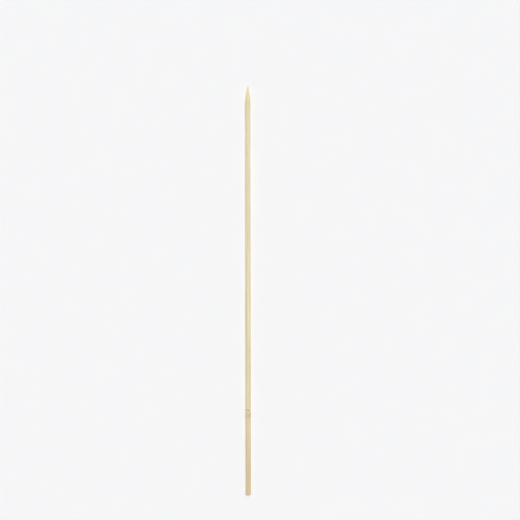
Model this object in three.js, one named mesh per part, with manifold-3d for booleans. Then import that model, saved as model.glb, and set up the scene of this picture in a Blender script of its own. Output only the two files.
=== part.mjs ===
// A bamboo skewer: one stick, milled round from a split strip of the culm's wall,
// ground to a point at one end and sawn square at the other.
//
// Millimetres, +Z up. The skewer lies along Y with its point towards +Y, on the narrow flat
// that the strip's split face leaves. The origin is halfway along, on that flat.

import * as THREE from "three";
import { mergeVertices } from "three/addons/utils/BufferGeometryUtils.js";
import Module from "manifold-3d";

// Driving dimensions of the stick.
const LENGTH = 300; // sawn end to tip
const DIAMETER = 3.5; // across the round of the shaft
const FLAT_WIDTH = 0.9; // flat along the underside
const BUTT_BEVEL = 0.18; // edge broken where the saw came through

// The ground point.
const POINT_LENGTH = 10.9; // tip to where the grinding runs out into the shaft
const POINT_CROWN = 0.14; // how far the point's sides bow out from a straight cone
const TIP_DIAMETER = 0.4; // blunt end of the point
const TIP_OFFSET = 0.12; // how far to the side of the shaft's axis the tip stands

// The node: a narrow slanting lip, where a sheath grew, and a broad swelling beside it.
const SCAR_FROM_BUTT = 60.2; // middle of the lip, level with the axis
const SCAR_WIDTH = 1.6;
const SCAR_RISE = 0.07;
const SCAR_LEAN = 1.6; // run towards the point for each millimetre up
const SCAR_SKEW = 0.6; // run towards the sawn end for each millimetre to the right
const RIDGE_FROM_BUTT = 57.8; // middle of the swelling
const RIDGE_WIDTH = 5.6;
const RIDGE_RISE = 0.1;

// How finely the surfaces are faceted.
const SIDES = 40; // facets round the stick
const SHAFT_STEP = 15; // longest facet along the plain shaft
const NODE_STEP = 0.4; // longest facet along the node
const POINT_STEPS = 14; // rings of facets along the point
const ENVELOPE_CLEARANCE = 1; // how far the point's cutting envelope stands clear of the shaft

const RADIUS = DIAMETER / 2;
const BUTT_Y = -LENGTH / 2;
const TIP_Y = LENGTH / 2;
const FLAT_HALF_ANGLE = Math.asin(FLAT_WIDTH / DIAMETER);
const AXIS_HEIGHT = RADIUS * Math.cos(FLAT_HALF_ANGLE);
const SCAR_REACH = RADIUS * Math.hypot(SCAR_LEAN, SCAR_SKEW) + SCAR_WIDTH / 2;
const NODE_START_Y = BUTT_Y + Math.min(RIDGE_FROM_BUTT - RIDGE_WIDTH / 2, SCAR_FROM_BUTT - SCAR_REACH);
const NODE_END_Y = BUTT_Y + Math.max(RIDGE_FROM_BUTT + RIDGE_WIDTH / 2, SCAR_FROM_BUTT + SCAR_REACH);

const wasm = await Module();
wasm.setup();

// A smooth hump of height 1 and the given width, centred on 0.
function hump(distance, width) {
  const t = (2 * distance) / width;
  return Math.abs(t) < 1 ? (1 - t * t) ** 2 : 0;
}

// How far the node lifts the surface at a place along the stick and round it.
// It is highest on top, the skin side of the strip, and dies out at the flat.
function nodeRise(y, angle) {
  const up = Math.sin(angle);
  const right = Math.cos(angle);
  const scarY = BUTT_Y + SCAR_FROM_BUTT + RADIUS * (SCAR_LEAN * up - SCAR_SKEW * right);
  const ridgeY = BUTT_Y + RIDGE_FROM_BUTT;
  const cover = (up + Math.cos(FLAT_HALF_ANGLE)) / (1 + Math.cos(FLAT_HALF_ANGLE));
  return cover * (SCAR_RISE * hump(y - scarY, SCAR_WIDTH) + RIDGE_RISE * hump(y - ridgeY, RIDGE_WIDTH));
}

// The shaft's section at one station: an arc from one corner of the flat round to the other,
// drawn in by the inset. The flat closes it.
function section(y, inset) {
  const start = FLAT_HALF_ANGLE - Math.PI / 2;
  const sweep = 2 * (Math.PI - FLAT_HALF_ANGLE);
  return Array.from({ length: SIDES }, (_, i) => {
    const angle = start + (sweep * i) / (SIDES - 1);
    const r = RADIUS - inset + nodeRise(y, angle);
    return new THREE.Vector3(r * Math.cos(angle), y, AXIS_HEIGHT + r * Math.sin(angle));
  });
}

// Places from one end of a stretch to the other, no further apart than the step.
function stations(from, to, step) {
  const count = Math.max(1, Math.ceil((to - from) / step));
  return Array.from({ length: count + 1 }, (_, i) => from + ((to - from) * i) / count);
}

// A closed skin over sections that all have the same number of points, with flat ends.
function loft(sections) {
  const around = sections[0].length;
  const index = [];
  for (let s = 0; s + 1 < sections.length; s++) {
    for (let i = 0; i < around; i++) {
      const a = s * around + i;
      const b = s * around + ((i + 1) % around);
      index.push(a, a + around, b, b, a + around, b + around);
    }
  }
  const last = (sections.length - 1) * around;
  for (let i = 1; i + 1 < around; i++) {
    index.push(0, i, i + 1);
    index.push(last, last + i + 1, last + i);
  }
  const geometry = new THREE.BufferGeometry().setFromPoints(sections.flat());
  return geometry.setIndex(index);
}

// The milled stick before it is ground: bevelled at the sawn end, with its node.
function blank() {
  const shaft = new Set([
    ...stations(BUTT_Y + BUTT_BEVEL, NODE_START_Y, SHAFT_STEP),
    ...stations(NODE_START_Y, NODE_END_Y, NODE_STEP),
    ...stations(NODE_END_Y, TIP_Y + ENVELOPE_CLEARANCE, SHAFT_STEP),
  ]);
  return loft([section(BUTT_Y, BUTT_BEVEL), ...[...shaft].map((y) => section(y, 0))]);
}

// What the grinding leaves: a crowned cone that widens from the blunt tip, past the shaft's
// size, into a sleeve that clears the rest of the stick. Its own Y axis ends at the tip.
function pointEnvelope() {
  const tip = new THREE.Vector2(TIP_DIAMETER / 2, 0);
  const runOut = new THREE.Vector2(RADIUS, -POINT_LENGTH);
  const along = runOut.clone().sub(tip);
  const outward = new THREE.Vector2(-along.y, along.x).normalize();
  const crest = tip.clone().lerp(runOut, 0.5).addScaledVector(outward, 2 * POINT_CROWN);
  const side = new THREE.QuadraticBezierCurve(tip, crest, runOut).getPoints(POINT_STEPS);
  const wide = RADIUS + SCAR_RISE + RIDGE_RISE + ENVELOPE_CLEARANCE;
  const grow = runOut.clone().sub(crest);
  const shoulder = runOut.clone().addScaledVector(grow, (wide - RADIUS) / grow.x);
  const end = -LENGTH - ENVELOPE_CLEARANCE;
  const profile = [
    new THREE.Vector2(0, end),
    new THREE.Vector2(wide, end),
    shoulder,
    ...side.reverse(),
    new THREE.Vector2(0, 0),
  ];
  return new THREE.LatheGeometry(profile, SIDES);
}

// Leans the point to the side, so that its tip stands off the shaft's axis.
function leanPoint(geometry) {
  const place = geometry.getAttribute("position");
  for (let i = 0; i < place.count; i++) {
    const pastRunOut = Math.max(0, place.getY(i) + POINT_LENGTH);
    place.setX(i, place.getX(i) + (TIP_OFFSET * pastRunOut) / POINT_LENGTH);
  }
  return geometry;
}

// A geometry as a solid that can be cut.
function solid(geometry) {
  const bare = geometry.clone().deleteAttribute("normal").deleteAttribute("uv");
  const merged = mergeVertices(bare);
  return new wasm.Manifold(
    new wasm.Mesh({
      numProp: 3,
      vertProperties: merged.getAttribute("position").array,
      triVerts: new Uint32Array(merged.getIndex().array),
    }),
  );
}

// A cut solid as a geometry again.
function geometryOf(cut) {
  const mesh = cut.getMesh();
  const geometry = new THREE.BufferGeometry();
  geometry.setAttribute("position", new THREE.BufferAttribute(mesh.vertProperties, 3));
  geometry.setIndex(new THREE.BufferAttribute(mesh.triVerts, 1));
  geometry.computeVertexNormals();
  return geometry;
}

const bamboo = new THREE.MeshStandardMaterial({ color: 0xe4d6b0, roughness: 0.62, metalness: 0 });

const envelope = leanPoint(pointEnvelope()).translate(0, TIP_Y, AXIS_HEIGHT);
const ground = solid(blank()).intersect(solid(envelope));
const skewer = new THREE.Mesh(geometryOf(ground), bamboo);
skewer.name = "skewer";

const part = new THREE.Group();
part.add(skewer);

export default part;
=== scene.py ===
"""A bamboo skewer lying on a pale floor: the milled stick with its node, ground point and sawn end.

Metres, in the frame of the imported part: the skewer lies along Y with its point towards +Y, on the
narrow flat along its underside, and +Z is up.
"""

import logging
import math
from dataclasses import dataclass, field
from enum import Enum
from functools import cached_property

import bpy
import numpy as np
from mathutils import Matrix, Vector


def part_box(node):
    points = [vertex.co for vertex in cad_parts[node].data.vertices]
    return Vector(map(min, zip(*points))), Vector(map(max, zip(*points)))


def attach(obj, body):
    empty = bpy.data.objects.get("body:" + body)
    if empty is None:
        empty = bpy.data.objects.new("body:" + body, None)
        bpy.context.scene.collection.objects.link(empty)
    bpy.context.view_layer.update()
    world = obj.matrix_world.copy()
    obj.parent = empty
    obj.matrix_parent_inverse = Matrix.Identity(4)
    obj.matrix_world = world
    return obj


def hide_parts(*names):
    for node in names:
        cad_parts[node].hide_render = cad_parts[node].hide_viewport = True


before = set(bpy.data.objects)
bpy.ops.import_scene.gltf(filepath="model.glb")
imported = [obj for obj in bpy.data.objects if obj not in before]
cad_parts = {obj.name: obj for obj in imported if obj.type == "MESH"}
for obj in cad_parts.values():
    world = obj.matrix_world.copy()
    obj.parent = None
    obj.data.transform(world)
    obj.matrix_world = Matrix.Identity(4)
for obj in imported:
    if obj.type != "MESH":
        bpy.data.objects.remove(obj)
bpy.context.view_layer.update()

MM = 0.001
MICRON = 0.000001
NODE = "skewer"
BODY = "root"
BAKE_MAP = "OFBake"

# Stands in for 0 where something is divided by it.
TINY = 0.000001

# A slow walk has some knots to spare, and its first one stands about a run before its first place.
SPARE_KNOTS = 4
KNOT_LEAD = (-1.4, -0.6)

# Where a Mix node for colours has its share, its two colours and its result.
MIX_INPUTS = (0, 6, 7)
MIX_RESULT = 2

Array = np.ndarray
Colour = tuple[float, float, float, float]
Socket = bpy.types.NodeSocket
Feed = Socket | float

log = logging.getLogger("skewer")


def srgb(code: str) -> Colour:
    """Turns a colour as seen on a screen into the linear values that shaders take.

    Args:
        code: Six hexadecimal digits, red, green and blue.

    Returns:
        Linear red, green and blue, with an alpha of 1.
    """
    shares = [int(code[i : i + 2], 16) / 255 for i in (0, 2, 4)]
    red, green, blue = (s / 12.92 if s <= 0.04045 else ((s + 0.055) / 1.055) ** 2.4 for s in shares)
    return (red, green, blue, 1.0)


def hump(distance: Array, width: float) -> Array:
    """Gives a smooth hump of height 1 and the given width, centred on 0.

    Args:
        distance: How far each place is from the middle of the hump.
        width: The hump's whole width.

    Returns:
        The height at each place, 0 outside the hump.
    """
    share = np.clip(np.abs(2 * distance / width), 0, 1)
    return (1 - share**2) ** 2


def turned_from(angle: Array, middle: Array | float) -> Array:
    """Gives the shorter way round from a middle to each angle, in radians."""
    return (angle - middle + math.pi) % math.tau - math.pi


def slow_walk(places: Array, run: float, dice: np.random.Generator) -> Array:
    """Draws a smooth random line along the stick.

    Args:
        places: Where along the stick the line is wanted, rising.
        run: How far apart the line's turns are.
        dice: The source of the random numbers.

    Returns:
        Values between 0 and 1, one for each place.
    """
    knots = int((places[-1] - places[0]) / run) + SPARE_KNOTS
    start = places[0] + run * dice.uniform(*KNOT_LEAD)
    heights = dice.uniform(0, 1, knots)
    at = (places - start) / run
    left = at.astype(int)
    share = at - left
    ease = share * share * (3 - 2 * share)
    return heights[left] * (1 - ease) + heights[left + 1] * ease


def rough_edge(count: int, spread: int, low: float, high: float, dice: np.random.Generator) -> Array:
    """Draws a rough line round an edge.

    Args:
        count: How many values are wanted.
        spread: How many neighbours each value is the mean of.
        low: The smallest value that is drawn.
        high: The largest value that is drawn.
        dice: The source of the random numbers.

    Returns:
        The values, in order round the edge.
    """
    drawn = dice.uniform(low, high, count + spread - 1)
    return np.convolve(drawn, np.ones(spread) / spread, "valid")


class Cut(Enum):
    """How a surface of the stick was made. The value is its place in the mesh's material list."""

    MILLED = 0
    GROUND = 1
    SAWN = 2


@dataclass(frozen=True)
class StickForm:
    """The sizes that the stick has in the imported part, in metres."""

    length: float
    diameter: float = 3.5 * MM
    flat_width: float = 0.9 * MM
    bevel: float = 0.18 * MM
    point_length: float = 10.9 * MM
    point_crown: float = 0.14 * MM
    tip_diameter: float = 0.4 * MM
    tip_offset: float = 0.12 * MM
    scar_from_butt: float = 60.2 * MM
    scar_width: float = 1.6 * MM
    scar_rise: float = 0.07 * MM
    scar_lean: float = 1.6
    scar_skew: float = 0.6
    ridge_from_butt: float = 57.8 * MM
    ridge_width: float = 5.6 * MM
    ridge_rise: float = 0.1 * MM

    @property
    def radius(self) -> float:
        """Half the shaft's diameter."""
        return self.diameter / 2

    @property
    def flat_half_angle(self) -> float:
        """Half the angle that the flat takes up, seen from the axis."""
        return math.asin(self.flat_width / self.diameter)

    @property
    def axis_height(self) -> float:
        """How high the shaft's axis is above the flat."""
        return self.radius * math.cos(self.flat_half_angle)

    @property
    def butt_y(self) -> float:
        """Where the sawn end is."""
        return -self.length / 2

    @property
    def tip_y(self) -> float:
        """Where the tip is."""
        return self.length / 2

    @property
    def run_out_y(self) -> float:
        """Where the ground point runs out into the shaft."""
        return self.tip_y - self.point_length

    @property
    def scar_y(self) -> float:
        """The middle of the scar, at the height of the axis."""
        return self.butt_y + self.scar_from_butt

    @property
    def ridge_y(self) -> float:
        """The middle of the node's broad swelling."""
        return self.butt_y + self.ridge_from_butt


@dataclass(frozen=True)
class Patches:
    """Stretches along the stick where a mark shows, with bare ones between them."""

    run: float
    gain: float
    loss: float

    def strength(self, y: Array, dice: np.random.Generator) -> Array:
        """Draws how strongly the mark shows at each place, from 0 to 1."""
        return np.clip(self.gain * slow_walk(y, self.run, dice) - self.loss, 0, 1)


@dataclass(frozen=True)
class FibreRelief:
    """The fibres that stand proud of a milled surface, and the grooves where some tore out."""

    count: int = 46
    depth: float = 19 * MICRON
    proud_share: float = 0.7
    torn_share: float = 0.55
    narrow: float = 0.05
    wide: float = 0.1
    jitter: float = 0.35
    wander: float = 0.05
    shortest_sway: float = 90 * MM
    longest_sway: float = 260 * MM
    patches: Patches = Patches(run=22 * MM, gain=1.7, loss=0.5)
    seed: int = 31

    def height(self, y: Array, angle: Array) -> Array:
        """Works out how far the fibres lift the surface.

        Args:
            y: Places along the stick, rising.
            angle: Places round the stick, in radians.

        Returns:
            Heights in metres, one row for each y and one column for each angle.
        """
        dice = np.random.default_rng(self.seed)
        total = np.zeros((len(y), len(angle)))
        for i in range(self.count):
            middle = math.tau * (i + dice.uniform(-self.jitter, self.jitter)) / self.count
            width = dice.uniform(self.narrow, self.wide)
            sway_run = dice.uniform(self.shortest_sway, self.longest_sway)
            sway = self.wander * np.sin(math.tau * (y / sway_run + dice.uniform()))
            off = turned_from(angle[None, :] - middle, sway[:, None])
            sign = -1 if dice.uniform() < self.torn_share else self.proud_share
            strength = self.patches.strength(y, dice)
            total += sign * self.depth * strength[:, None] * np.exp(-((off / width) ** 2))
        return total


@dataclass(frozen=True)
class EndGrain:
    """The cut ends of the fibre bundles on a sawn face, as small raised dots, and the saw's scores."""

    radius: float
    pitch: float = 0.34 * MM
    jitter: float = 0.35
    smallest: float = 0.2
    largest: float = 0.36
    height: float = 16 * MICRON
    saw_depth: float = 7 * MICRON
    saw_pitch: float = 0.21 * MM
    saw_way: tuple[float, float] = (0.94, 0.34)
    seed: int = 5

    def relief(self, x: Array, z: Array) -> Array:
        """Works out how far the face stands out at each place.

        Args:
            x: Places across the face, from its middle.
            z: Places up the face, from its middle.

        Returns:
            Heights in metres, with the saw's scores taken off.
        """
        dice = np.random.default_rng(self.seed)
        rows = int(2 * self.radius / self.pitch) + 2
        grid = (np.indices((rows, rows)).reshape(2, -1).T - rows / 2) * self.pitch
        dots = grid + dice.uniform(-self.jitter, self.jitter, grid.shape) * self.pitch
        sizes = dice.uniform(self.smallest, self.largest, len(dots)) * self.pitch
        total = np.zeros_like(x)
        for (dot_x, dot_z), size in zip(dots, sizes):
            away = (x - dot_x) ** 2 + (z - dot_z) ** 2
            total += self.height * np.exp(-away / size**2)
        across = self.saw_way[0] * x + self.saw_way[1] * z
        scores = np.sin(math.tau * across / self.saw_pitch)
        return total - self.saw_depth * (1 + scores)


@dataclass(frozen=True)
class Surface:
    """The finished skin: its size at each place along the stick and round it, and its cut."""

    y: Array
    angle: Array
    radius: Array
    cut: Array

    def radius_along(self, y: Array, turn: float) -> Array:
        """Reads the skin's size along a line.

        Args:
            y: Places along the stick.
            turn: Where the line is round the stick, in radians.

        Returns:
            The radius at each place.
        """
        column = int(np.argmin(np.abs(turned_from(self.angle, turn))))
        return np.interp(y, self.y, self.radius[:, column])


@dataclass
class Rings:
    """The rings of points that a skin is drawn over, from the sawn face's middle to the tip."""

    points: list[Array] = field(default_factory=list)
    cuts: list[Array] = field(default_factory=list)

    def add(self, ring: Array, cut: Array) -> None:
        """Adds one ring of points and the cut that made each of them."""
        self.points.append(ring)
        self.cuts.append(cut)

    def along(self) -> Array:
        """Measures the skin from the first ring on.

        Returns:
            How far each ring is from the first, over the surface.
        """
        middles = np.array([[r[:, 1].mean(), np.ptp(r[:, 0]) / 2] for r in self.points])
        steps = np.linalg.norm(np.diff(middles, axis=0), axis=1)
        return np.concatenate([[0.0], np.cumsum(steps)])


@dataclass
class BakeSheet:
    """Lays the long skin out as strips side by side, so that its pattern is baked finely."""

    strips: int = 5
    gutter: float = 0.7 * MM
    disc_radius: float = 0.012
    disc_middles: tuple[tuple[float, float], ...] = ((0.93, 0.972), (0.97, 0.972))

    def layout(self, along: Array, girth: float, faces: int, sides: int) -> Array:
        """Places the corners of the skin's four-sided faces on the sheet.

        Args:
            along: How far each ring is from the first, over the surface.
            girth: The distance round the stick.
            faces: How many bands of faces there are.
            sides: How many faces there are round the stick.

        Returns:
            Two coordinates for each corner, from 0 to 1.
        """
        strip_length = along[-1] / self.strips
        side = max(strip_length + 2 * self.gutter, self.strips * (girth + self.gutter) + self.gutter)
        band, column = np.indices((faces, sides)).reshape(2, -1)
        strip = np.minimum((along[band] / strip_length).astype(int), self.strips - 1)
        corner_band = np.stack([band, band + 1, band + 1, band], 1)
        corner_column = np.stack([column, column, column + 1, column + 1], 1)
        across = (along[corner_band] - strip_length * strip[:, None] + self.gutter) / side
        base = self.gutter + strip[:, None] * (girth + self.gutter)
        up = (base + girth * corner_column / sides) / side
        return np.stack([across, up], 2).reshape(-1, 2)

    def discs(self, ends: list[Array]) -> Array:
        """Places the small fans that close the two ends, each on a disc of its own.

        Args:
            ends: For each end, the corners of its faces as seen along the stick.

        Returns:
            Two coordinates for each corner, from 0 to 1.
        """
        placed = []
        for corners, middle in zip(ends, self.disc_middles):
            off = corners - corners.mean(0)
            placed.append(self.disc_radius * off / np.abs(off).max() + middle)
        return np.concatenate(placed)


@dataclass
class SkewerStick:
    """The whole stick in one skin: sawn end, shaft with its node, and ground point."""

    form: StickForm
    relief: FibreRelief = field(default_factory=FibreRelief)
    seed: int = 77

    # How finely the skin is drawn.
    sides: int = 120
    fewest_on_flat: int = 4
    shaft_step: float = 0.52 * MM
    node_step: float = 0.14 * MM
    point_step: float = 0.26 * MM
    run_out_step: float = 0.06 * MM
    run_out_reach: float = 0.9 * MM
    node_reach: float = 7 * MM
    face_rings: int = 22
    first_face_ring: float = 0.35
    bevel_rings: int = 5
    tip_rings: int = 6
    curve_points: int = 49

    # The milled shaft.
    out_of_round: float = 14 * MICRON
    oval_turn: float = 0.6
    third_lobe: float = 0.6
    drift_run: float = 45 * MM
    seam_angles: tuple[float, ...] = (math.radians(7), math.radians(172))
    seam_height: float = 11 * MICRON
    seam_width: float = 0.07
    seam_patches: Patches = Patches(run=18 * MM, gain=1.6, loss=0.4)
    rough_at_node: float = 0.8

    # The node, beside the sizes in the form.
    scar_wave: float = 0.12 * MM
    scar_waves: int = 5
    scar_phase: float = 0.7
    groove_depth: float = 0.6
    groove_width: float = 0.45

    # The ground point and the tip.
    point_flats: int = 9
    point_flat_depth: float = 0.012
    point_flat_unevenness: float = 0.8
    past_run_out: float = 1.6
    clear_of_shaft: float = 4.0
    tip_flatness: float = 0.4
    tip_crown: float = 0.02 * MM
    fray: float = 0.12
    fray_spread: int = 7

    # The broken edge of the sawn end.
    chip: float = 0.25
    chip_spread: int = 5

    def build(self, materials: list[bpy.types.Material]) -> bpy.types.Object:
        """Makes the stick and dresses it.

        Args:
            materials: One material for each cut, in the order of Cut.

        Returns:
            The stick's object.
        """
        rings = self._rings()
        verts, quads, fans, cuts = self._skin(rings)
        mesh = bpy.data.meshes.new("skewer_stick")
        mesh.from_pydata(verts.tolist(), [], quads.tolist() + fans.tolist())
        for material in materials:
            mesh.materials.append(material)
        mesh.polygons.foreach_set("material_index", cuts)
        mesh.shade_smooth()
        self._lay_out(mesh, rings, verts, fans)
        mesh.validate()
        mesh.update()
        stick = bpy.data.objects.new("skewer_stick", mesh)
        bpy.context.scene.collection.objects.link(stick)
        return stick

    @cached_property
    def surface(self) -> Surface:
        """Works out the skin of the shaft and the point, once.

        Returns:
            How far out each ring's points are, and how each was cut.
        """
        y, angle = self._stations(), self.angles()
        blank = np.minimum(self.shaft_radius(y, angle), self.chord(angle)[None, :])
        point = self.point_radius(y, angle)
        cut = np.where(point < blank, Cut.GROUND.value, Cut.MILLED.value)
        return Surface(y, angle, np.minimum(blank, point), cut)

    def angles(self) -> Array:
        """Chooses the places round the stick, with one on each corner of the flat.

        Returns:
            Angles in radians, from the flat's first corner on.
        """
        half = self.form.flat_half_angle
        on_flat = max(self.fewest_on_flat, round(self.sides * half / math.pi))
        flat = np.linspace(-half, half, on_flat, endpoint=False)
        arc = np.linspace(half, math.tau - half, self.sides - on_flat, endpoint=False)
        return np.concatenate([flat, arc]) - math.pi / 2

    def chord(self, angle: Array) -> Array:
        """Gives how far the flat is from the axis in each direction, far away where it isn't."""
        down = np.maximum(-np.sin(angle), TINY)
        return self.form.axis_height / down

    def node_rise(self, y: Array, angle: Array) -> Array:
        """Works out how far the node lifts the surface.

        Args:
            y: Places along the stick.
            angle: Places round the stick, in radians.

        Returns:
            Heights in metres, one row for each y and one column for each angle.
        """
        form = self.form
        up, right = np.sin(angle)[None, :], np.cos(angle)[None, :]
        wavy = self.scar_wave * np.sin(self.scar_waves * angle + self.scar_phase)[None, :]
        scar = form.scar_y + form.radius * (form.scar_lean * up - form.scar_skew * right) + wavy
        low = math.cos(form.flat_half_angle)
        cover = np.clip((up + low) / (1 + low), 0, 1)
        past = y[:, None] - scar
        groove_width = self.groove_width * form.scar_width
        lip = form.scar_rise * hump(past, form.scar_width)
        groove = self.groove_depth * form.scar_rise * hump(past + groove_width, groove_width)
        swelling = form.ridge_rise * hump(y[:, None] - form.ridge_y, form.ridge_width)
        return cover * (lip - groove + swelling)

    def shaft_radius(self, y: Array, angle: Array) -> Array:
        """Works out the milled shaft's size, with its fibres, cutter seams and node.

        Args:
            y: Places along the stick, rising.
            angle: Places round the stick, in radians.

        Returns:
            Radii in metres, one row for each y and one column for each angle.
        """
        dice = np.random.default_rng(self.seed)
        round_it = angle[None, :]
        drift = slow_walk(y, self.drift_run, dice)[:, None]
        oval = np.cos(2 * round_it + self.oval_turn + drift)
        oval = oval + self.third_lobe * np.cos(3 * round_it - 2 * drift)
        seams = np.zeros((len(y), len(angle)))
        for seam in self.seam_angles:
            shown = self.seam_patches.strength(y, dice)[:, None]
            seams += shown * np.exp(-((turned_from(round_it, seam) / self.seam_width) ** 2))
        near_node = 1 + self.rough_at_node * hump(y - self.form.ridge_y, 2 * self.node_reach)[:, None]
        fibres = near_node * self.relief.height(y, angle)
        bumps = self.out_of_round * oval + self.seam_height * seams + fibres
        return self.form.radius + bumps + self.node_rise(y, angle)

    def point_radius(self, y: Array, angle: Array) -> Array:
        """Works out how far out the grinding left the surface.

        The point's side is the part's own curve from the tip to the run-out, and then straight on
        until it is clear of the shaft.

        Args:
            y: Places along the stick.
            angle: Places round the stick, in radians.

        Returns:
            Radii in metres, larger than the shaft's away from the point.
        """
        form = self.form
        tip = np.array([form.tip_diameter / 2, form.tip_y])
        root = np.array([form.radius, form.run_out_y])
        run = root - tip
        outward = np.array([-run[1], run[0]]) / np.linalg.norm(run)
        crest = (tip + root) / 2 + 2 * form.point_crown * outward
        t = np.linspace(0, 1, self.curve_points)[:, None]
        curve = (1 - t) ** 2 * tip + 2 * t * (1 - t) * crest + t**2 * root
        line = np.concatenate([curve, [root + self.past_run_out * (root - crest)]])
        clear = self.clear_of_shaft * form.radius
        size = np.interp(-y, -line[:, 1], line[:, 0], right=clear)[:, None]
        flats = np.cos(self.point_flats * angle + self.point_flat_unevenness * np.sin(angle))[None, :]
        size = size * (1 + self.point_flat_depth * (flats - 1))
        share = np.clip((y - form.run_out_y) / form.point_length, 0, 1)[:, None]
        lean = form.tip_offset * share
        across = lean * np.cos(angle)[None, :]
        return across + np.sqrt(size**2 - (lean * np.sin(angle)[None, :]) ** 2)

    def _stations(self) -> Array:
        """Chooses the places along the stick that have a ring, closer where the form turns.

        Returns:
            The places, rising.
        """
        form = self.form
        node = (form.scar_y + form.ridge_y) / 2
        stops = [
            (form.butt_y + form.bevel, self.shaft_step),
            (node - self.node_reach, self.node_step),
            (node + self.node_reach, self.shaft_step),
            (form.run_out_y - self.run_out_reach, self.run_out_step),
            (form.run_out_y + self.run_out_reach, self.point_step),
            (form.tip_y - form.tip_diameter / 2, self.point_step),
        ]
        places = []
        for (start, step), (end, _) in zip(stops, stops[1:]):
            count = math.ceil((end - start) / step)
            places.append(np.linspace(start, end, count, endpoint=False))
        places.append(np.array([stops[-1][0]]))
        return np.concatenate(places)

    def _ring(self, radii: Array, angle: Array, y: float) -> Array:
        """Turns sizes round the axis into points.

        Args:
            radii: The size in each direction.
            angle: The directions, in radians.
            y: Where the ring is along the stick.

        Returns:
            One point for each direction.
        """
        x = radii * np.cos(angle)
        z = self.form.axis_height + radii * np.sin(angle)
        return np.stack([x, np.full_like(x, y), z], 1)

    def _rings(self) -> Rings:
        """Works out every ring.

        Returns:
            The rings, from the middle of the sawn face to the tip.
        """
        skin = self.surface
        rings = Rings()
        self._add_butt(rings, skin.radius[0], skin.angle)
        for place, sizes, cut in zip(skin.y, skin.radius, skin.cut):
            rings.add(self._ring(sizes, skin.angle, place), cut)
        self._add_tip(rings, skin.radius[-1], skin.angle)
        return rings

    def _add_butt(self, rings: Rings, rim: Array, angle: Array) -> None:
        """Adds the sawn face and its broken edge.

        Args:
            rings: The rings so far.
            rim: The shaft's size in each direction, where the broken edge meets it.
            angle: The directions, in radians.
        """
        form = self.form
        dice = np.random.default_rng(self.seed + 1)
        grain = EndGrain(form.radius)
        sawn = np.full(self.sides, Cut.SAWN.value)
        chips = self.chip * form.bevel * rough_edge(self.sides, self.chip_spread, 0, 1, dice)
        inner = rim - form.bevel - chips
        for i in range(self.face_rings):
            sizes = inner * (i + self.first_face_ring) / self.face_rings
            ring = self._ring(sizes, angle, form.butt_y)
            ring[:, 1] -= grain.relief(ring[:, 0], ring[:, 2] - form.axis_height)
            ring[:, 1] += grain.height
            rings.add(ring, sawn)
        for i in range(self.bevel_rings):
            turn = math.pi / 2 * i / self.bevel_rings
            sizes = inner + (rim - inner) * math.sin(turn)
            rings.add(self._ring(sizes, angle, form.butt_y + form.bevel * (1 - math.cos(turn))), sawn)

    def _add_tip(self, rings: Rings, last: Array, angle: Array) -> None:
        """Adds the blunt tip, rounded and a little frayed.

        Args:
            rings: The rings so far.
            last: The point's size in each direction, where the tip starts.
            angle: The directions, in radians.
        """
        form = self.form
        dice = np.random.default_rng(self.seed + 2)
        ground = np.full(self.sides, Cut.GROUND.value)
        reach = form.tip_diameter / 2
        middle = np.array([form.tip_offset, form.axis_height])
        frayed = rough_edge(self.sides, self.fray_spread, -1, 1, dice)
        for i in range(1, self.tip_rings + 1):
            turn = math.pi / 2 * i / (self.tip_rings + self.tip_flatness)
            ring = self._ring(last, angle, form.tip_y - reach * (1 - math.sin(turn)))
            ring[:, [0, 2]] = middle + (ring[:, [0, 2]] - middle) * math.cos(turn)
            ring[:, 1] += self.fray * reach * frayed * math.cos(turn)
            rings.add(ring, ground)

    def _skin(self, rings: Rings) -> tuple[Array, Array, Array, Array]:
        """Joins the rings into faces.

        Args:
            rings: The rings, in order.

        Returns:
            The points, the four-sided faces, the three-sided faces that close both ends, and each
            face's cut.
        """
        n, count = self.sides, len(rings.points)
        first = rings.points[0].mean(0)
        last = rings.points[-1].mean(0) + np.array([0, self.tip_crown, 0])
        verts = np.concatenate([*rings.points, first[None], last[None]])
        band, side = np.indices((count - 1, n)).reshape(2, -1)
        a, b = band * n + side, band * n + (side + 1) % n
        quads = np.stack([a, a + n, b + n, b], 1)
        here, after = np.arange(n), (np.arange(n) + 1) % n
        start, end = count * n, count * n + 1
        butt = np.stack([np.full(n, start), here, after], 1)
        tip = np.stack([np.full(n, end), (count - 1) * n + after, (count - 1) * n + here], 1)
        made = np.concatenate(rings.cuts)
        end_cuts = np.repeat([Cut.SAWN.value, Cut.GROUND.value], n)
        cuts = np.concatenate([np.maximum(made[a], made[b + n]), end_cuts])
        return verts, quads, np.concatenate([butt, tip]), cuts.astype(np.int32)

    def _lay_out(self, mesh: bpy.types.Mesh, rings: Rings, verts: Array, fans: Array) -> None:
        """Gives the mesh its bake map: strips for the skin, and a small disc for each end.

        Args:
            mesh: The stick's mesh.
            rings: The rings that its skin is drawn over.
            verts: The mesh's points.
            fans: The three-sided faces that close the two ends.
        """
        sheet = BakeSheet()
        girth = math.tau * self.form.radius
        skin = sheet.layout(rings.along(), girth, len(rings.points) - 1, self.sides)
        corners = verts[fans.reshape(-1)][:, [0, 2]]
        places = np.concatenate([skin, sheet.discs(np.split(corners, 2))])
        layer = mesh.uv_layers.new(name=BAKE_MAP)
        layer.uv.foreach_set("vector", places.astype(np.float32).ravel())


@dataclass(frozen=True)
class FibreTuft:
    """A stretch of the stick where fibres have lifted off the surface."""

    count: int
    start: float
    end: float
    shortest: float
    longest: float
    lift: float
    towards_tip: bool = True


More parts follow.
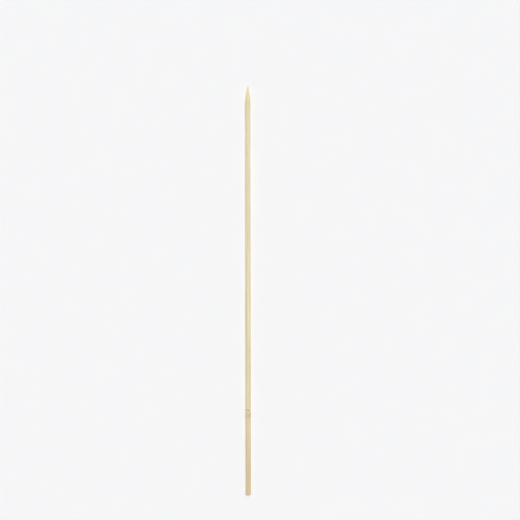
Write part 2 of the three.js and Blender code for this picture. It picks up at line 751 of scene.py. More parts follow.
@dataclass
class LiftedFibres:
    """Hair-thin fibres that the saw, the mill and the grinding left standing."""

    stick: SkewerStick
    thickness: float = 0.03 * MM
    thinnest: float = 0.6
    thickest: float = 1.1
    end_thickness: float = 0.12
    taper: float = 0.7
    least_lift: float = 0.5
    most_lift: float = 1.3
    lift_bend: float = 1.6
    curl: float = 0.06
    spread: tuple[float, float] = (math.radians(-35), math.radians(215))
    rings: int = 8
    sides: int = 5
    seed: int = 19

    def tufts(self) -> list[FibreTuft]:
        """Lists the places where fibres stand up.

        Returns:
            The tufts at the sawn rim, along the shaft, at the node and at the run-out.
        """
        form = self.stick.form
        rim = form.butt_y + 0.5 * form.bevel
        at_rim = FibreTuft(
            count=9,
            start=rim,
            end=rim + 0.1 * MM,
            shortest=0.16 * MM,
            longest=0.34 * MM,
            lift=0.03 * MM,
            towards_tip=False,
        )
        on_shaft = FibreTuft(
            count=16,
            start=form.butt_y + 8 * MM,
            end=form.run_out_y - 6 * MM,
            shortest=0.9 * MM,
            longest=3.0 * MM,
            lift=0.11 * MM,
        )
        at_node = FibreTuft(
            count=6,
            start=form.ridge_y - 3 * MM,
            end=form.scar_y + 2 * MM,
            shortest=0.5 * MM,
            longest=1.3 * MM,
            lift=0.1 * MM,
        )
        at_run_out = FibreTuft(
            count=10,
            start=form.run_out_y,
            end=form.run_out_y + 4 * MM,
            shortest=0.5 * MM,
            longest=1.6 * MM,
            lift=0.08 * MM,
            towards_tip=False,
        )
        return [at_rim, on_shaft, at_node, at_run_out]

    def build(self, material: bpy.types.Material) -> bpy.types.Object:
        """Makes all the fibres as one object.

        Args:
            material: The fibres' material.

        Returns:
            The fibres' object.
        """
        dice = np.random.default_rng(self.seed)
        verts: list[Array] = []
        faces: list[tuple[int, ...]] = []
        for tuft in self.tufts():
            for _ in range(tuft.count):
                line = self._centreline(tuft, dice)
                self._add_hair(verts, faces, line, dice.uniform(self.thinnest, self.thickest))
        mesh = bpy.data.meshes.new("lifted_fibres")
        mesh.from_pydata(np.concatenate(verts).tolist(), [], faces)
        mesh.materials.append(material)
        mesh.shade_smooth()
        fibres = bpy.data.objects.new("lifted_fibres", mesh)
        bpy.context.scene.collection.objects.link(fibres)
        return fibres

    def _centreline(self, tuft: FibreTuft, dice: np.random.Generator) -> Array:
        """Draws one fibre's path, from just under the surface to its free end.

        Args:
            tuft: The tuft that the fibre belongs to.
            dice: The source of the random numbers.

        Returns:
            The points of the path.
        """
        start = dice.uniform(tuft.start, tuft.end)
        turn = dice.uniform(*self.spread)
        reach = dice.uniform(tuft.shortest, tuft.longest)
        lift = tuft.lift * dice.uniform(self.least_lift, self.most_lift)
        curl = dice.uniform(-self.curl, self.curl)
        t = np.linspace(0, 1, self.rings)
        y = start + (reach if tuft.towards_tip else -reach) * t
        out = self.stick.surface.radius_along(y, turn) - self.thickness + lift * t**self.lift_bend
        at = turn + curl * t**2
        x = out * np.cos(at)
        z = np.maximum(self.stick.form.axis_height + out * np.sin(at), self.thickness)
        return np.stack([x, y, z], 1)

    def _add_hair(
        self, verts: list[Array], faces: list[tuple[int, ...]], line: Array, size: float
    ) -> None:
        """Draws a thin tapered skin over one fibre's path.

        Args:
            verts: The points so far.
            faces: The faces so far.
            line: The fibre's path.
            size: How thick the fibre is, as a share of the usual thickness.
        """
        first = sum(len(v) for v in verts)
        n = self.sides
        turns = math.tau * np.arange(n) / n
        shrink = np.linspace(1, self.end_thickness, len(line)) ** self.taper
        radius = self.thickness * size * shrink / 2
        ring = np.stack([np.cos(turns), np.zeros(n), np.sin(turns)], 1)
        verts.append((line[:, None, :] + radius[:, None, None] * ring[None]).reshape(-1, 3))
        forward = line[-1, 1] > line[0, 1]
        for band in range(len(line) - 1):
            for side in range(n):
                a = first + band * n + side
                b = first + band * n + (side + 1) % n
                quad = (a, a + n, b + n, b)
                faces.append(quad if forward else quad[::-1])
        start = tuple(first + i for i in range(n))
        end = tuple(first + (len(line) - 1) * n + i for i in reversed(range(n)))
        faces.extend([start, end] if forward else [start[::-1], end[::-1]])


@dataclass(frozen=True)
class Band:
    """A kind of noise, and the two values that a mask made out of it fades between.

    Its sizes across and along the stick stay 1 where the place is already divided by them.
    """

    across: float = 1.0
    along: float = 1.0
    low: float = 0.3
    high: float = 0.7
    detail: float = 2.0
    roughness: float = 0.5
    scale: float = 1.0


class Canvas:
    """Places and joins the nodes of one shader tree."""

    def __init__(self, tree: bpy.types.NodeTree) -> None:
        """Starts on a tree, which may already hold nodes."""
        self.tree = tree

    def add(self, kind: str, **settings: str | bool | bpy.types.NodeTree) -> bpy.types.Node:
        """Adds one node.

        Args:
            kind: The node's type, without the words ShaderNode in front.
            settings: The node's own settings.

        Returns:
            The node.
        """
        node = self.tree.nodes.new("ShaderNode" + kind)
        for name, value in settings.items():
            setattr(node, name, value)
        return node

    def feed(self, target: Socket, source: Feed | tuple[float, ...]) -> None:
        """Feeds one socket.

        Args:
            target: The input socket.
            source: The output socket to link to it, or the value to set.
        """
        if isinstance(source, bpy.types.NodeSocket):
            self.tree.links.new(source, target)
        else:
            target.default_value = source

    def math(self, operation: str, *feeds: Feed) -> Socket:
        """Adds a Math node.

        Args:
            operation: What the node does, in Blender's word for it.
            feeds: What goes into its inputs, in order.

        Returns:
            The result's socket.
        """
        node = self.add("Math", operation=operation)
        for target, source in zip(node.inputs, feeds):
            self.feed(target, source)
        return node.outputs[0]

    def span(self, value: Feed, low: Feed, high: Feed, to_low: float = 0.0, to_high: float = 1.0) -> Socket:
        """Eases a value from one range into another.

        Args:
            value: The value.
            low: The value that becomes to_low.
            high: The value that becomes to_high.
            to_low: The result at low and before it.
            to_high: The result at high and past it.

        Returns:
            The result's socket.
        """
        node = self.add("MapRange", interpolation_type="SMOOTHSTEP")
        for name, source in (("Value", value), ("From Min", low), ("From Max", high)):
            self.feed(node.inputs[name], source)
        node.inputs["To Min"].default_value = to_low
        node.inputs["To Max"].default_value = to_high
        return node.outputs["Result"]

    def parts(self, vector: Socket) -> list[Socket]:
        """Splits a place.

        Args:
            vector: The place.

        Returns:
            Its X, Y and Z.
        """
        node = self.add("SeparateXYZ")
        self.feed(node.inputs[0], vector)
        return list(node.outputs)

    def whole(self, x: Feed, y: Feed, z: Feed) -> Socket:
        """Joins X, Y and Z into a place.

        Args:
            x: The place's X.
            y: The place's Y.
            z: The place's Z.

        Returns:
            The place's socket.
        """
        node = self.add("CombineXYZ")
        for target, source in zip(node.inputs, (x, y, z)):
            self.feed(target, source)
        return node.outputs[0]

    def shrunk(self, vector: Socket, sizes: tuple[Feed, Feed, Feed]) -> Socket:
        """Divides a place by three lengths.

        Args:
            vector: The place.
            sizes: The length for X, for Y and for Z.

        Returns:
            The divided place's socket.
        """
        shares = [self.math("DIVIDE", part, size) for part, size in zip(self.parts(vector), sizes)]
        return self.whole(*shares)

    def texture(self, vector: Socket, band: Band) -> bpy.types.Node:
        """Adds a noise texture that is read at a place as it comes.

        Args:
            vector: The place.
            band: The noise.

        Returns:
            The texture's node.
        """
        node = self.add("TexNoise")
        self.feed(node.inputs["Vector"], vector)
        for name, value in (("Scale", band.scale), ("Detail", band.detail), ("Roughness", band.roughness)):
            node.inputs[name].default_value = value
        return node

    def noise(self, vector: Socket, band: Band) -> bpy.types.Node:
        """Adds a noise texture of the band's own size across and along the stick.

        Args:
            vector: The place that it is read at, in metres.
            band: The noise.

        Returns:
            The texture's node.
        """
        return self.texture(self.shrunk(vector, (band.across, band.along, band.across)), band)

    def mask(self, vector: Socket, band: Band, faintest: float = 0.0) -> Socket:
        """Makes a mask out of noise.

        Args:
            vector: The place that it is read at, in metres.
            band: The noise.
            faintest: The mask where the noise is lowest.

        Returns:
            The mask's socket, up to 1 where the noise is highest.
        """
        return self.span(self.noise(vector, band).outputs[0], band.low, band.high, faintest, 1.0)

    def blend(self, share: Feed, below: Feed | Colour, above: Feed | Colour, way: str = "MIX") -> Socket:
        """Lays one colour over another.

        Args:
            share: How much of the upper colour shows.
            below: The lower colour.
            above: The upper colour.
            way: How the two are put together, in Blender's word for it.

        Returns:
            The result's socket.
        """
        node = self.add("Mix", data_type="RGBA", blend_type=way, clamp_factor=True)
        for place, source in zip(MIX_INPUTS, (share, below, above)):
            self.feed(node.inputs[place], source)
        return node.outputs[MIX_RESULT]


@dataclass
class ShaderGroup:
    """A shader node group under way, with its named inputs and outputs."""

    name: str
    inputs: dict[str, float]
    outputs: list[str]

    def __post_init__(self) -> None:
        """Makes the empty group and its sockets."""
        self.tree = bpy.data.node_groups.new(self.name, "ShaderNodeTree")
        for name, value in self.inputs.items():
            socket = self.tree.interface.new_socket(name, in_out="INPUT", socket_type="NodeSocketFloat")
            socket.default_value = value
        for name in self.outputs:
            self.tree.interface.new_socket(name, in_out="OUTPUT", socket_type="NodeSocketFloat")
        self.canvas = Canvas(self.tree)
        self.given = self.tree.nodes.new("NodeGroupInput").outputs
        self.result = self.tree.nodes.new("NodeGroupOutput").inputs

    def place(self) -> Socket:
        """Gives the place on the surface, in the stick's own frame."""
        return self.canvas.add("TexCoord").outputs["Object"]

    def give(self, name: str, source: Socket) -> None:
        """Joins a result to the named output."""
        self.canvas.feed(self.result[name], source)


@dataclass(frozen=True)
class CulmGrain:
    """The grain that runs through the stick: fibre bundles in pale pith, streaks and thin dark lines.

    It is a pattern in space, so it shows as streaks along the stick, as ovals where the point is
    ground and as dots on the sawn end. Bundles are stronger towards the skin side, which is up.
    """

    wall_depth: float = 3.4 * MM
    bundle_pitch: float = 0.25 * MM
    bundle_run: float = 60 * MM
    bundle_core: float = 0.16
    bundle_rim: float = 0.46
    bundle_scatter: float = 0.9
    faintest_bundle: float = 0.15
    full_bundle_from: float = 0.7
    pith_side_share: float = 0.5
    crowding: float = 0.0
    pore_core: float = 0.05
    pore_rim: float = 0.13
    wander: float = 0.5 * MM
    drift: Band = Band(across=14 * MM, along=46 * MM, detail=1.0)
    streaks: Band = Band(across=0.8 * MM, along=55 * MM, low=0.34, high=0.68, detail=3.0, roughness=0.6)
    lines: Band = Band(across=0.13 * MM, along=34 * MM, low=0.53, high=0.7, roughness=0.6)
    line_breaks: Band = Band(across=0.5 * MM, along=7 * MM, low=0.36, high=0.6)
    fine: Band = Band(across=0.07 * MM, along=9 * MM)
    fine_height: float = 0.5
    bundle_height: float = 0.6
    line_depth: float = 0.7

    def group(self) -> bpy.types.NodeTree:
        """Makes the node group.

        Returns:
            The group, with the masks Bundles, Pores, Streaks, Lines, Fine and Relief.
        """
        inputs = {
            "Bundle Pitch": self.bundle_pitch,
            "Bundle Run": self.bundle_run,
            "Bundle Core": self.bundle_core,
            "Bundle Rim": self.bundle_rim,
            "Crowding": self.crowding,
            "Wander": self.wander,
        }
        outputs = ["Bundles", "Pores", "Streaks", "Lines", "Fine", "Relief"]
        made = ShaderGroup("culm_grain", inputs, outputs)
        c, given = made.canvas, made.given
        place = made.place()
        spot = self._wandering(c, place, given["Wander"])
        distance, strong = self._cells(c, given, place, spot)
        round_bundle = c.span(distance, given["Bundle Core"], given["Bundle Rim"], 1.0, 0.0)
        bundles = c.math("MULTIPLY", round_bundle, strong)
        pores = c.math("MULTIPLY", c.span(distance, self.pore_core, self.pore_rim, 1.0, 0.0), strong)
        lines = c.math("MULTIPLY", c.mask(spot, self.lines), c.mask(spot, self.line_breaks))
        fine = c.mask(spot, self.fine)
        bundle_relief = c.math("MULTIPLY", bundles, self.bundle_height)
        fibres = c.math("MULTIPLY_ADD", fine, self.fine_height, bundle_relief)
        made.give("Bundles", bundles)
        made.give("Pores", pores)
        made.give("Streaks", c.mask(spot, self.streaks))
        made.give("Lines", lines)
        made.give("Fine", fine)
        made.give("Relief", c.math("MULTIPLY_ADD", lines, -self.line_depth, fibres))
        return made.tree

    def _cells(
        self, c: Canvas, given: bpy.types.NodeOutputs, place: Socket, spot: Socket
    ) -> tuple[Socket, Socket]:
        """Lays the bundles out as long cells.

        Args:
            c: The group's canvas.
            given: The group's inputs.
            place: The place on the surface.
            spot: The same place as the grain wanders.

        Returns:
            How far the place is from its bundle's middle, in shares of the pitch, and how strong
            that bundle is.
        """
        packed = self._crowded(c, spot, given["Crowding"])
        pitch, run = given["Bundle Pitch"], given["Bundle Run"]
        cells = c.add("TexVoronoi", voronoi_dimensions="3D", feature="F1")
        c.feed(cells.inputs["Vector"], c.shrunk(packed, (pitch, run, pitch)))
        cells.inputs["Scale"].default_value = 1.0
        cells.inputs["Randomness"].default_value = self.bundle_scatter
        pick = c.add("SeparateColor")
        c.feed(pick.inputs[0], cells.outputs["Color"])
        chosen = c.span(pick.outputs[0], 0.0, self.full_bundle_from, self.faintest_bundle, 1.0)
        height = c.parts(place)[2]
        skinward = c.span(height, 0.0, self.wall_depth, self.pith_side_share, 1.0)
        return cells.outputs["Distance"], c.math("MULTIPLY", chosen, skinward)

    def _wandering(self, c: Canvas, place: Socket, reach: Feed) -> Socket:
        """Moves a place a little to the side, more and less along the stick, so that grain wanders.

        Args:
            c: The group's canvas.
            place: The place on the surface.
            reach: How far the grain wanders.

        Returns:
            The moved place.
        """
        centred = c.add("VectorMath", operation="SUBTRACT")
        c.feed(centred.inputs[0], c.noise(place, self.drift).outputs["Color"])
        centred.inputs[1].default_value = (0.5, 0.5, 0.5)
        scaled = c.add("VectorMath", operation="SCALE")
        c.feed(scaled.inputs[0], centred.outputs[0])
        c.feed(scaled.inputs["Scale"], reach)
        moved = c.add("VectorMath", operation="ADD")
        c.feed(moved.inputs[0], place)
        c.feed(moved.inputs[1], scaled.outputs[0])
        return moved.outputs[0]

    def _crowded(self, c: Canvas, place: Socket, crowding: Feed) -> Socket:
        """Stretches height, so that what is laid out by the result stands closer near the skin side.

        Args:
            c: The group's canvas.
            place: The place in the stick.
            crowding: 0 leaves the place as it is, and 1 packs the skin side closest.

        Returns:
            The place with its height stretched.
        """
        x, y, z = c.parts(place)
        from_middle = c.math("MULTIPLY_ADD", z, 1 / self.wall_depth, -0.5)
        growth = c.math("MULTIPLY_ADD", from_middle, crowding, 1.0)
        return c.whole(x, y, c.math("MULTIPLY", z, growth))


@dataclass(frozen=True)
class NodeMarks:
    """The marks of the node: the dark scar line, a painted highlight on the lip beside it, and the stained
    swelling.
    """

    form: StickForm
    scar_width: float = 0.5 * MM
    scar_off: float = 0.45
    # The pale band just past the scar is a painted highlight on the raised lip.
    lip_highlight_width: float = 0.55 * MM
    lip_highlight_off: float = 0.1 * MM
    stain_reach: float = 8 * MM
    shake: Band = Band(across=0.8 * MM, along=2.2 * MM, detail=3.0)
    shake_reach: float = 0.9 * MM
    bare_below: float = 0.25 * MM
    full_above: float = 1.3 * MM
    worn_from: float = -1.3 * MM
    worn_share: float = 0.2
    flaws: Band = Band(across=0.5 * MM, along=0.5 * MM, low=0.25, high=0.6)
    flaw_share: float = 0.6
    swelling_core: float = 0.3 * MM
    swelling_patches: Band = Band(across=0.6 * MM, along=1.9 * MM, low=0.32, high=0.62, detail=3.0)

    def group(self) -> bpy.types.NodeTree:
        """Makes the node group.

        Returns:
            The group, with the masks Scar, Lip Highlight, Swelling and Stain.
        """
        inputs = {
            "Scar Width": self.scar_width,
            "Lip Width": self.lip_highlight_width,
            "Stain Reach": self.stain_reach,
        }
        made = ShaderGroup("node_marks", inputs, ["Scar", "Lip Highlight", "Swelling", "Stain"])
        c, given, form = made.canvas, made.given, self.form
        place = made.place()
        x, y, z = c.parts(place)
        wobble = c.math("SUBTRACT", c.noise(place, self.shake).outputs[0], 0.5)
        shake = c.math("MULTIPLY", wobble, self.shake_reach)
        past = c.math("ADD", c.math("SUBTRACT", y, self._scar_middle(c, x, z)), shake)
        below = c.math("ADD", past, self.scar_off * form.scar_width)
        shown = c.span(z, self.bare_below, self.full_above)
        worn = c.span(x, self.worn_from, 0.0, self.worn_share, 1.0)
        broken = c.math("MULTIPLY", c.mask(place, self.flaws, self.flaw_share), worn)
        scar = c.span(c.math("ABSOLUTE", below), 0.0, given["Scar Width"], 1.0, 0.0)
        # Painted highlight: a pale band along the lip, just past the scar.
        from_lip_highlight = c.math("ABSOLUTE", c.math("SUBTRACT", past, self.lip_highlight_off))
        lip = c.span(from_lip_highlight, 0.0, given["Lip Width"], 1.0, 0.0)
        from_ridge = c.math("ABSOLUTE", c.math("ADD", c.math("SUBTRACT", y, form.ridge_y), shake))
        swelling = c.span(from_ridge, self.swelling_core, form.ridge_width / 2, 1.0, 0.0)
        made.give("Scar", c.math("MULTIPLY", c.math("MULTIPLY", scar, broken), shown))
        made.give("Lip Highlight", c.math("MULTIPLY", lip, shown))
        made.give("Swelling", c.math("MULTIPLY", swelling, c.mask(place, self.swelling_patches)))
        made.give("Stain", c.span(from_ridge, 0.0, given["Stain Reach"], 1.0, 0.0))
        return made.tree

    def _scar_middle(self, c: Canvas, x: Socket, z: Socket) -> Socket:
        """Works out where the scar's lip is along the stick.

        Args:
            c: The group's canvas.
            x: How far to the right the place is.
            z: How high the place is above the flat.

        Returns:
            The lip's place along the stick.
        """
        up = c.math("SUBTRACT", z, self.form.axis_height)
        lean = c.math("MULTIPLY", up, self.form.scar_lean)
        skew = c.math("MULTIPLY", x, self.form.scar_skew)
        return c.math("ADD", c.math("SUBTRACT", lean, skew), self.form.scar_y)


@dataclass(frozen=True)
class StickTone:
    """The slow changes of tone along the stick, and the small dark flecks on it. The browning towards the
    butt is partly the stick's own tone and partly painted shade where the light falls off.
    """

    form: StickForm
    green: Band = Band(across=2.6 * MM, along=38 * MM, low=0.42)
    warm: Band = Band(across=5 * MM, along=60 * MM, low=0.4, scale=1.3)
    warm_share: float = 0.3
    # The butt end browns: partly the stick's own tone, partly painted shade where the light falls off.
    brown_and_shade_share: float = 0.7
    brown_and_shade_from_butt: float = 64 * MM
    full_brown_and_shade_from_butt: float = 22 * MM
    # A paler band, centred this far from the tip and fading out over the reach.
    pale_band_from_tip: float = 64 * MM
    pale_band_core: float = 10 * MM
    pale_band_reach: float = 85 * MM
    flecks: Band = Band(across=0.1 * MM, along=1.5 * MM, detail=1.0)
    fleck_share: float = 0.7
    fleck_fade: float = 0.06
    fleck_crowds: Band = Band(across=1.4 * MM, along=9 * MM, detail=1.0)
    crowd_strength: float = 0.22

    def group(self) -> bpy.types.NodeTree:
        """Makes the node group.

        Returns:
            The group, with the masks Green, Tan And Shade, Pale Band and Flecks.
        """
        outputs = ["Green", "Tan And Shade", "Pale Band", "Flecks"]
        made = ShaderGroup("stick_tone", {"Fleck Share": self.fleck_share}, outputs)
        c, given, form = made.canvas, made.given, self.form
        place = made.place()
        y = c.parts(place)[1]
        brown_and_shade_from = form.butt_y + self.brown_and_shade_from_butt
        # Painted shade with some real browning: the colour darkens towards the butt.
        brown_and_shade = c.span(y, brown_and_shade_from, form.butt_y + self.full_brown_and_shade_from_butt)
        warm = c.math("MULTIPLY", c.mask(place, self.warm), self.warm_share)
        from_pale_band = c.math("ABSOLUTE", c.math("SUBTRACT", y, form.tip_y - self.pale_band_from_tip))
        crowds = c.noise(place, self.fleck_crowds).outputs[0]
        middle = c.math("ADD", given["Fleck Share"], self.crowd_strength / 2)
        low = c.math("MULTIPLY_ADD", crowds, -self.crowd_strength, middle)
        high = c.math("ADD", low, self.fleck_fade)
        made.give("Green", c.mask(place, self.green))
        made.give("Tan And Shade", c.math("MULTIPLY_ADD", brown_and_shade, self.brown_and_shade_share, warm))
        made.give("Pale Band", c.span(from_pale_band, self.pale_band_core, self.pale_band_reach, 1.0, 0.0))
        made.give("Flecks", c.span(c.noise(place, self.flecks).outputs[0], low, high))
        return made.tree


@dataclass(frozen=True)
class ToolMarks:
    """The fine scores that grinding and sawing leave across the fibres."""

    side: float = 2.5 * MM
    along: float = 0.07 * MM
    up: float = 2.5 * MM
    turn: float = 0.0
    scores: Band = Band(detail=3.0, roughness=0.6)

    def group(self) -> bpy.types.NodeTree:
        """Makes the node group.

        Returns:
            The group, with the mask Scores.
        """
        inputs = {"Side": self.side, "Along": self.along, "Up": self.up, "Turn": self.turn}
        made = ShaderGroup("tool_marks", inputs, ["Scores"])
        c, given = made.canvas, made.given
        turned = c.add("VectorRotate", rotation_type="Y_AXIS")
        c.feed(turned.inputs["Vector"], made.place())
        c.feed(turned.inputs["Angle"], given["Turn"])
        sized = c.shrunk(turned.outputs[0], (given["Side"], given["Along"], given["Up"]))
        read = c.texture(sized, self.scores).outputs[0]
        made.give("Scores", c.span(read, self.scores.low, self.scores.high))
        return made.tree


@dataclass(frozen=True)
class GroupSet:
    """The node groups that the stick's materials share."""

    grain: bpy.types.NodeTree
    marks: bpy.types.NodeTree
    tone: bpy.types.NodeTree
    scores: bpy.types.NodeTree


@dataclass(frozen=True)
class Masks:
    """The outputs of the shared groups, as they are placed in one material."""

    grain: bpy.types.NodeOutputs
    marks: bpy.types.NodeOutputs
    tone: bpy.types.NodeOutputs
    scores: bpy.types.NodeOutputs


@dataclass(frozen=True)
class BambooFinish:
    """How bare bamboo looks where it has been cut in one way."""

    name: str

    # Colours as seen on a screen.
    pale: str = "f6eac6"
    honey: str = "e4d4a8"
    bundle: str = "b99a69"
    line: str = "a58252"
    pore: str = "5d4326"
    green: str = "d9cf94"
    # Laid on for the browning and painted shade towards the butt, and for the node's stain.
    tan: str = "cfb183"
    # The colour of the paler band towards the tip.
    pale_band_colour: str = "fbf3d6"
    scar: str = "8a6a40"
    swelling: str = "bfa47c"
    # The colour of the painted highlight on the lip beside the node's scar.
    lip: str = "f6ebca"
    fleck: str = "8b6b41"
    score: str = "d8c7a0"

    # How much of each shows.
    streak_share: float = 0.75
    green_share: float = 0.35
    # How much of the browning and painted shade towards the butt shows.
    tan_and_shade_share: float = 0.45
    pale_band_share: float = 0.3
    bundle_share: float = 0.5
    pore_share: float = 0.0
    line_share: float = 0.4
    fine_share: float = 0.14
    stain_share: float = 0.16
    swelling_share: float = 0.5
    # How strongly the painted highlight on the lip shows.
    lip_highlight_share: float = 0.6
    scar_share: float = 0.85
    fleck_share: float = 0.35
    score_share: float = 0.0

    # The grain and the tool's scores, as the shared groups take them.
    bundle_pitch: float = CulmGrain.bundle_pitch
    bundle_run: float = CulmGrain.bundle_run
    bundle_core: float = CulmGrain.bundle_core
    bundle_rim: float = CulmGrain.bundle_rim
    crowding: float = CulmGrain.crowding
    score_side: float = ToolMarks.side
    score_along: float = ToolMarks.along
    score_up: float = ToolMarks.up
    score_turn: float = ToolMarks.turn

    # The gloss and the fine relief.
    smooth: float = 0.5
    rough: float = 0.68
    rough_fine: float = 0.08
    rough_scar: float = 0.15
    specular: float = 0.42
    sheen: float = 0.08
    sheen_roughness: float = 0.45
    relief: float = 14 * MICRON
    relief_strength: float = 0.8
    scar_depth: float = 1.2

    def material(self, groups: GroupSet) -> bpy.types.Material:
        """Makes the material.

        Args:
            groups: The shared node groups.

        Returns:
            The material, with its own values set in each group.
        """
        made = bpy.data.materials.new(self.name)
        made.use_nodes = True
        canvas = Canvas(made.node_tree)
        masks = Masks(
            grain=self._use(canvas, groups.grain, self._grain_values()),
            marks=self._use(canvas, groups.marks, {}),
            tone=self._use(canvas, groups.tone, {}),
            scores=self._use(canvas, groups.scores, self._score_values()),
        )
        shader = made.node_tree.nodes["Principled BSDF"]
        canvas.feed(shader.inputs["Base Color"], self._colour(canvas, masks))
        canvas.feed(shader.inputs["Roughness"], self._roughness(canvas, masks))
        canvas.feed(shader.inputs["Normal"], self._normal(canvas, masks))
        shader.inputs["Sheen Weight"].default_value = self.sheen
        shader.inputs["Sheen Roughness"].default_value = self.sheen_roughness
        shader.inputs["Specular IOR Level"].default_value = self.specular
        return made

    def _grain_values(self) -> dict[str, float]:
        """Gives this finish's own values for the grain.

        Returns:
            A value for each input of the group that this finish sets.
        """
        return {
            "Bundle Pitch": self.bundle_pitch,
            "Bundle Run": self.bundle_run,
            "Bundle Core": self.bundle_core,
            "Bundle Rim": self.bundle_rim,
            "Crowding": self.crowding,
        }

    def _score_values(self) -> dict[str, float]:
        """Gives this finish's own values for the tool's scores.

        Returns:
            A value for each input of the group.
        """
        return {
            "Side": self.score_side,
            "Along": self.score_along,
            "Up": self.score_up,
            "Turn": self.score_turn,
        }

    def _use(
        self, canvas: Canvas, tree: bpy.types.NodeTree, values: dict[str, float]
    ) -> bpy.types.NodeOutputs:
        """Places one shared group in the material, with its own values.

        Args:
            canvas: The material's canvas.
            tree: The shared group.
            values: A value for each of the group's inputs that this finish sets.

        Returns:
            The placed group's outputs.
        """
        node = canvas.add("Group", node_tree=tree)
        for name, value in values.items():
            node.inputs[name].default_value = value
        return node.outputs

    def _colour(self, canvas: Canvas, masks: Masks) -> Socket:
        """Lays the tones over each other, palest first.

        Args:
            canvas: The material's canvas.
            masks: The masks of the shared groups.

        Returns:
            The colour's socket.
        """
        layers = [
            (masks.grain["Streaks"], self.streak_share, self.honey),
            (masks.tone["Green"], self.green_share, self.green),
            # Browner towards the butt: partly real tone, partly painted shade.
            (masks.tone["Tan And Shade"], self.tan_and_shade_share, self.tan),
            # A paler band towards the tip.
            (masks.tone["Pale Band"], self.pale_band_share, self.pale_band_colour),
            (masks.grain["Bundles"], self.bundle_share, self.bundle),
            (masks.grain["Pores"], self.pore_share, self.pore),
            (masks.grain["Lines"], self.line_share, self.line),
            (masks.grain["Fine"], self.fine_share, self.bundle),
            (masks.marks["Stain"], self.stain_share, self.tan),
            (masks.marks["Swelling"], self.swelling_share, self.swelling),
            # Painted highlight on the node's lip, just past the scar.
            (masks.marks["Lip Highlight"], self.lip_highlight_share, self.lip),
            (masks.marks["Scar"], self.scar_share, self.scar),
            (masks.tone["Flecks"], self.fleck_share, self.fleck),
        ]
        ground = srgb(self.pale)
        for mask, share, code in layers:
            ground = canvas.blend(canvas.math("MULTIPLY", mask, share), ground, srgb(code))
        scored = canvas.math("MULTIPLY", masks.scores["Scores"], self.score_share)
        return canvas.blend(scored, ground, srgb(self.score), way="MULTIPLY")

    def _roughness(self, canvas: Canvas, masks: Masks) -> Socket:
        """Makes the bundles a little glossier than the pith, and the scar dull.

        Args:
            canvas: The material's canvas.
            masks: The masks of the shared groups.

        Returns:
            The roughness's socket.
        """
        base = canvas.span(masks.grain["Bundles"], 0.0, 1.0, self.rough, self.smooth)
        varied = canvas.math("MULTIPLY_ADD", masks.grain["Fine"], self.rough_fine, base)
        return canvas.math("MULTIPLY_ADD", masks.marks["Scar"], self.rough_scar, varied)

    def _normal(self, canvas: Canvas, masks: Masks) -> Socket:
        """Raises the fibres and sinks the scar and the tool's scores.

        Args:
            canvas: The material's canvas.
            masks: The masks of the shared groups.

        Returns:
            The normal's socket.
        """
        scores, relief = masks.scores["Scores"], masks.grain["Relief"]
        raised = canvas.math("MULTIPLY_ADD", scores, -self.score_share, relief)
        height = canvas.math("MULTIPLY_ADD", masks.marks["Scar"], -self.scar_depth, raised)
        bump = canvas.add("Bump")
        bump.inputs["Strength"].default_value = self.relief_strength
        bump.inputs["Distance"].default_value = self.relief
        canvas.feed(bump.inputs["Height"], height)
        return bump.outputs[0]


MILLED_BAMBOO = BambooFinish("milled_bamboo")
GROUND_BAMBOO = BambooFinish(
    "ground_bamboo",
    pale="fcefbd",
    honey="efdc9f",
    green_share=0.15,
    tan_and_shade_share=0.1,
    bundle_share=0.55,
    score_share=0.13,
    score_along=0.1 * MM,
    smooth=0.6,
    rough=0.78,
    sheen=0.12,
)
SAWN_BAMBOO = BambooFinish(
    "sawn_bamboo",
    pale="e6d6ac",
    honey="d2bb87",
    bundle="8f6a3c",
    green_share=0.1,
    pale_band_share=0.0,
    bundle_share=0.85,
    pore_share=0.75,
    line_share=0.1,
    score_share=0.5,
    bundle_pitch=0.235 * MM,
    bundle_run=900 * MM,
    bundle_core=0.22,
    bundle_rim=0.42,
    crowding=0.3,
    score_side=5 * MM,
    score_along=4 * MM,
    score_up=0.13 * MM,
    score_turn=math.radians(18),
    smooth=0.7,
    rough=0.85,
    sheen=0.15,
    relief=22 * MICRON,
)
LOOSE_FIBRE = BambooFinish(
    "loose_fibre",
    pale="f6edcf",
    honey="e9dcb0",
    bundle_share=0.2,
    fleck_share=0.1,
    smooth=0.5,
    rough=0.6,
    sheen=0.25,
)


@dataclass
class StudioFloor:
    """The plain pale floor that the skewer lies on."""

    half_side: float = 12.0
    pale: str = "fafafa"
    shade: str = "f7f7f8"
    mottle: Band = Band(low=0.2, high=0.8, detail=4.0, scale=60.0)
    smooth: float = 0.75
    rough: float = 0.85
    specular: float = 0.2

    def build(self) -> bpy.types.Object:
        """Makes the floor, level with the flat that the skewer lies on.

        Returns:
            The floor's object.
        """
        s = self.half_side
        mesh = bpy.data.meshes.new("floor")
        mesh.from_pydata([(-s, -s, 0), (s, -s, 0), (s, s, 0), (-s, s, 0)], [], [(0, 1, 2, 3)])
        mesh.materials.append(self._material())
        floor = bpy.data.objects.new("floor", mesh)
        bpy.context.scene.collection.objects.link(floor)
        return floor

    def _material(self) -> bpy.types.Material:
        """Makes smooth pale card with a very faint mottle.

        Returns:
            The material.
        """
        made = bpy.data.materials.new("pale_card")
        made.use_nodes = True
        canvas = Canvas(made.node_tree)
        shader = made.node_tree.nodes["Principled BSDF"]
        place = canvas.add("TexCoord").outputs["Object"]
        mottle = canvas.texture(place, self.mottle).outputs[0]
        roughness = canvas.span(mottle, self.mottle.low, self.mottle.high, self.smooth, self.rough)
        canvas.feed(shader.inputs["Base Color"], canvas.blend(mottle, srgb(self.pale), srgb(self.shade)))
        canvas.feed(shader.inputs["Roughness"], roughness)
        shader.inputs["Specular IOR Level"].default_value = self.specular
        return made


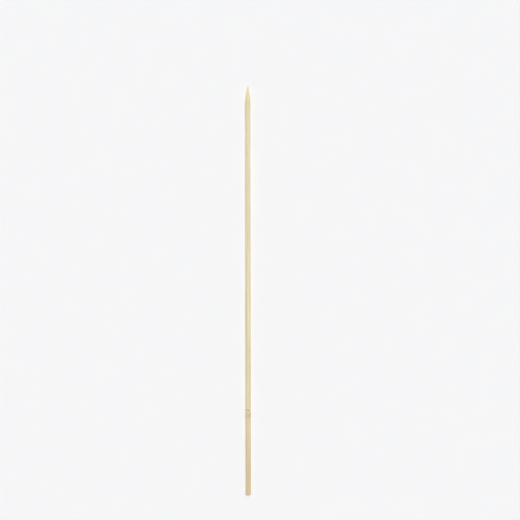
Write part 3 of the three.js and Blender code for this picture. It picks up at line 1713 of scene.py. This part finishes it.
@dataclass
class SoftLight:
    """Plain soft studio light: a wide soft lamp from the pointed end, and an even pale surround."""

    lamp_from: tuple[float, float, float] = (0.12, 0.35, 1.0)
    lamp_strength: float = 2.1
    lamp_spread: float = math.radians(36)
    overhead: float = 0.36
    horizon: float = 0.98
    horizon_top: float = 0.03
    overhead_from: float = 0.3
    surround_colour: str = "f6f7f9"

    def build(self) -> None:
        """Makes the lamp and the surround."""
        lamp = bpy.data.lights.new("soft_lamp", "SUN")
        lamp.energy = self.lamp_strength
        lamp.angle = self.lamp_spread
        holder = bpy.data.objects.new("soft_lamp", lamp)
        holder.rotation_euler = Vector(self.lamp_from).to_track_quat("Z", "Y").to_euler()
        bpy.context.scene.collection.objects.link(holder)
        bpy.context.scene.world = self._surround()

    def _surround(self) -> bpy.types.World:
        """Makes the surround, as pale as the floor near the horizon and dimmer overhead.

        Returns:
            The world.
        """
        world = bpy.data.worlds.new("pale_surround")
        world.use_nodes = True
        canvas = Canvas(world.node_tree)
        sky = world.node_tree.nodes["Background"]
        height = canvas.parts(canvas.add("TexCoord").outputs["Generated"])[2]
        fade = canvas.span(height, self.horizon_top, self.overhead_from, self.horizon, self.overhead)
        sky.inputs["Color"].default_value = srgb(self.surround_colour)
        canvas.feed(sky.inputs["Strength"], fade)
        return world


@dataclass
class PhotoCamera:
    """The camera, straight above the skewer, framed as the photograph is."""

    form: StickForm
    frame_px: float = 520.0
    tip_row_px: float = 86.0
    butt_row_px: float = 494.2
    tip_column_px: float = 247.85
    butt_column_px: float = 248.35
    lens_mm: float = 100.0
    sensor_mm: float = 36.0
    nearest: float = 0.05
    farthest: float = 20.0

    def build(self) -> bpy.types.Object:
        """Makes the camera and gives it to the scene.

        Returns:
            The camera's object.
        """
        px_per_m = (self.butt_row_px - self.tip_row_px) / self.form.length
        half = self.frame_px / 2
        right = (half - (self.tip_column_px + self.butt_column_px) / 2) / px_per_m
        up = ((self.tip_row_px + self.butt_row_px) / 2 - half) / px_per_m
        distance = self.frame_px / px_per_m * self.lens_mm / self.sensor_mm
        lens = bpy.data.cameras.new("photo_camera")
        lens.lens = self.lens_mm
        lens.sensor_width = self.sensor_mm
        lens.clip_start = self.nearest
        lens.clip_end = self.farthest
        camera = bpy.data.objects.new("photo_camera", lens)
        camera.location = (right, up, distance + self.form.axis_height)
        lean = (self.butt_column_px - self.tip_column_px) / (self.butt_row_px - self.tip_row_px)
        camera.rotation_euler = (0.0, 0.0, -math.atan(lean))
        bpy.context.scene.collection.objects.link(camera)
        bpy.context.scene.camera = camera
        return camera


def seat(piece: bpy.types.Object) -> None:
    """Lets a piece ride on the skewer's body, and reports it.

    Args:
        piece: The piece.
    """
    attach(piece, BODY)
    log.info("%s: %d faces", piece.name, len(piece.data.polygons))


def main() -> None:
    """Builds the skewer, the floor, the light and the camera."""
    logging.basicConfig(level=logging.INFO, format="%(name)s: %(message)s")
    low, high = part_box(NODE)
    form = StickForm(length=high.y - low.y)
    bpy.context.scene.view_settings.view_transform = "Standard"
    PhotoCamera(form).build()
    groups = GroupSet(
        grain=CulmGrain().group(),
        marks=NodeMarks(form).group(),
        tone=StickTone(form).group(),
        scores=ToolMarks().group(),
    )
    finishes = {Cut.MILLED: MILLED_BAMBOO, Cut.GROUND: GROUND_BAMBOO, Cut.SAWN: SAWN_BAMBOO}
    stick = SkewerStick(form)
    skin = stick.build([finishes[cut].material(groups) for cut in Cut])
    seat(skin)
    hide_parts(NODE)
    seat(LiftedFibres(stick).build(LOOSE_FIBRE.material(groups)))
    StudioFloor().build()
    SoftLight().build()


if __name__ == "__main__":
    main()
